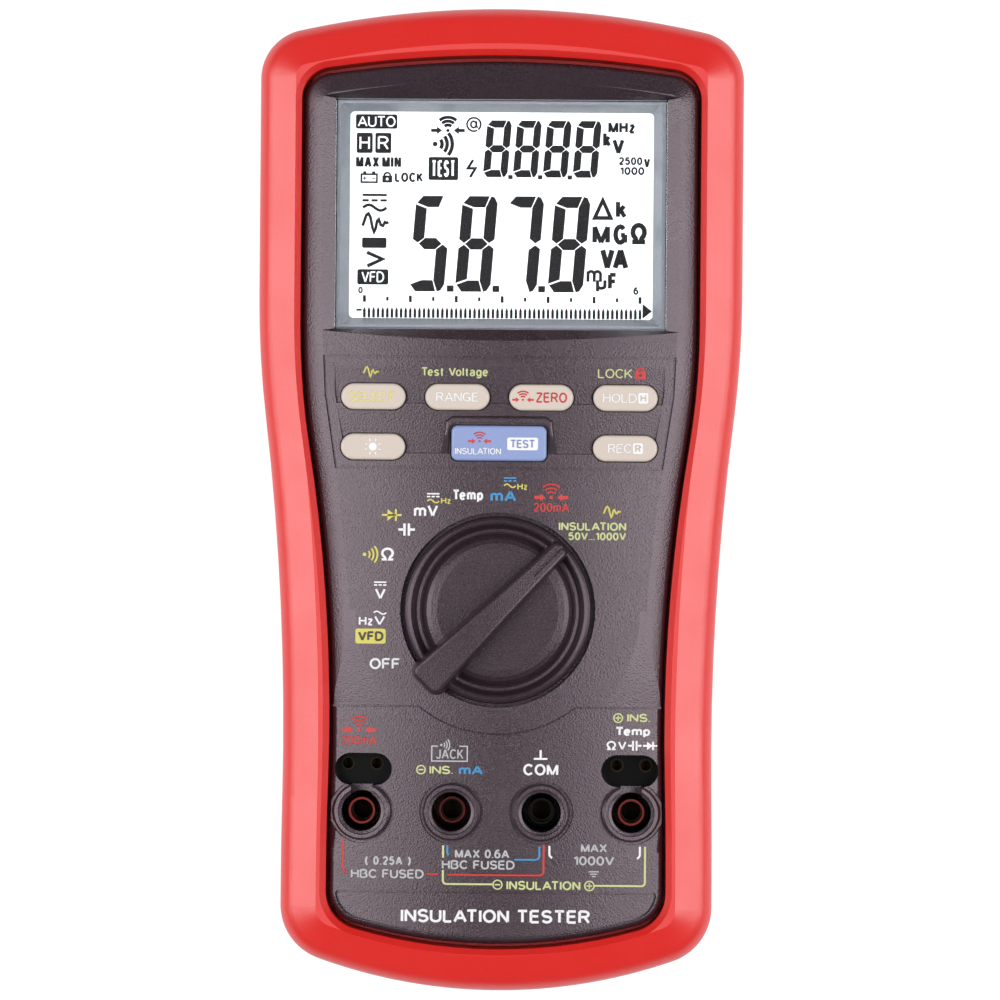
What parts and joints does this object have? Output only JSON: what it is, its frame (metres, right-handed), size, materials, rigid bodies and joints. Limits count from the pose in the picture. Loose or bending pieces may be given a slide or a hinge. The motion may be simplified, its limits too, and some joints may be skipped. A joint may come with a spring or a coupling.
{
  "type": "insulation resistance tester",
  "caption": "Handheld insulation tester in a rubber holster, with display, keys, rotary selector, test lead jacks and tilt stand.",
  "frame": {"origin": "on the resting plane, under the middle of the object, which lies on its back", "axes": "+Z out of the meter's face, +Y towards its display end, +X to the user's right"},
  "size_m": [0.1024, 0.208, 0.0645],
  "materials": {
    "holster_rubber": "smooth moulded rubber, satin",
    "case_plastic": "fine spark-eroded grain",
    "stand_plastic": "fine grain",
    "black_rubber": "matt",
    "steel": "zinc plated",
    "cell_can": "printed sleeve",
    "board_green": "solder mask",
    "inner_black": "moulded",
    "clear_lens": "clear polished plastic",
    "lcd_frame_grey": "satin",
    "lcd_panel": "lit panel",
    "light_guide": "frosted",
    "silicone": "moulded silicone",
    "brass": "turned, nickel flash",
    "sleeve_red": "moulded",
    "sleeve_black": "moulded",
    "ceramic_white": "glazed ceramic body with plated caps",
    "capacitor_blue": "dipped",
    "button_blue": "satin",
    "key_beige": "satin"
  },
  "bodies": {
    "root": {"holster": "holster_rubber", "front_case": "case_plastic", "rear_case": "case_plastic", "case_seal": "black_rubber", "case_screws": "steel", "battery_door": "case_plastic", "battery_door_screws": "steel", "battery_cells": "cell_can", "battery_springs": "steel", "battery_plates": "steel", "main_board": "board_green", "display_board": "board_green", "board_spacers": "inner_black", "board_link": "inner_black", "window_lens": "clear_lens", "lcd_frame": "lcd_frame_grey", "lcd_glass": "lcd_panel", "backlight_guide": "light_guide", "backlight_lamps": "light_guide", "zebra_strips": "black_rubber", "keypad_mat": "silicone", "detent_spring": "steel", "shaft_seal": "black_rubber", "jack_contacts": "brass", "resistance_jack_sleeve": "sleeve_red", "milliamp_jack_sleeve": "sleeve_red", "common_jack_sleeve": "sleeve_black", "voltage_jack_sleeve": "sleeve_red", "remote_socket_blocks": "sleeve_black", "remote_socket_contacts": "brass", "fuses": "ceramic_white", "fuse_clips": "brass", "test_transformer": "inner_black", "range_relays": "inner_black", "film_capacitors": "capacitor_blue", "circuit_chips": "inner_black", "buzzer": "inner_black"},
    "selector": {"selector_knob": "case_plastic", "selector_rotor": "inner_black", "rotor_screw": "steel", "selector_wipers": "brass"},
    "stand": {"tilt_stand": "stand_plastic", "stand_pads": "black_rubber"},
    "select_key": {"select_key": "key_beige"},
    "range_key": {"range_key": "key_beige"},
    "zero_key": {"zero_key": "key_beige"},
    "hold_key": {"hold_key": "key_beige"},
    "backlight_key": {"backlight_key": "key_beige"},
    "record_key": {"record_key": "key_beige"},
    "test_button": {"test_button": "button_blue"}
  },
  "joints": [
    {"name": "selector_turn", "type": "hinge", "parent": "root", "child": "selector", "pos_m": [0, -0.0233, 0.05], "axis": [0, 0, 1], "range_deg": [0, 162], "deforming": ["detent_spring"]},
    {"name": "stand_fold", "type": "hinge", "parent": "root", "child": "stand", "pos_m": [0, 0.038, 0.0055], "axis": [1, 0, 0], "range_deg": [0, 70]},
    {"name": "select_press", "type": "slide", "parent": "root", "child": "select_key", "axis": [0, 0, -1], "range_m": [0, 0.0012], "stiffness_N_per_m": 1500, "deforming": ["keypad_mat"]},
    {"name": "range_press", "type": "slide", "parent": "root", "child": "range_key", "axis": [0, 0, -1], "range_m": [0, 0.0012], "stiffness_N_per_m": 1500, "deforming": ["keypad_mat"]},
    {"name": "zero_press", "type": "slide", "parent": "root", "child": "zero_key", "axis": [0, 0, -1], "range_m": [0, 0.0012], "stiffness_N_per_m": 1500, "deforming": ["keypad_mat"]},
    {"name": "hold_press", "type": "slide", "parent": "root", "child": "hold_key", "axis": [0, 0, -1], "range_m": [0, 0.0012], "stiffness_N_per_m": 1500, "deforming": ["keypad_mat"]},
    {"name": "backlight_press", "type": "slide", "parent": "root", "child": "backlight_key", "axis": [0, 0, -1], "range_m": [0, 0.0012], "stiffness_N_per_m": 1500, "deforming": ["keypad_mat"]},
    {"name": "record_press", "type": "slide", "parent": "root", "child": "record_key", "axis": [0, 0, -1], "range_m": [0, 0.0012], "stiffness_N_per_m": 1500, "deforming": ["keypad_mat"]},
    {"name": "test_press", "type": "slide", "parent": "root", "child": "test_button", "axis": [0, 0, -1], "range_m": [0, 0.0012], "stiffness_N_per_m": 1500, "deforming": ["keypad_mat"]}
  ]
}
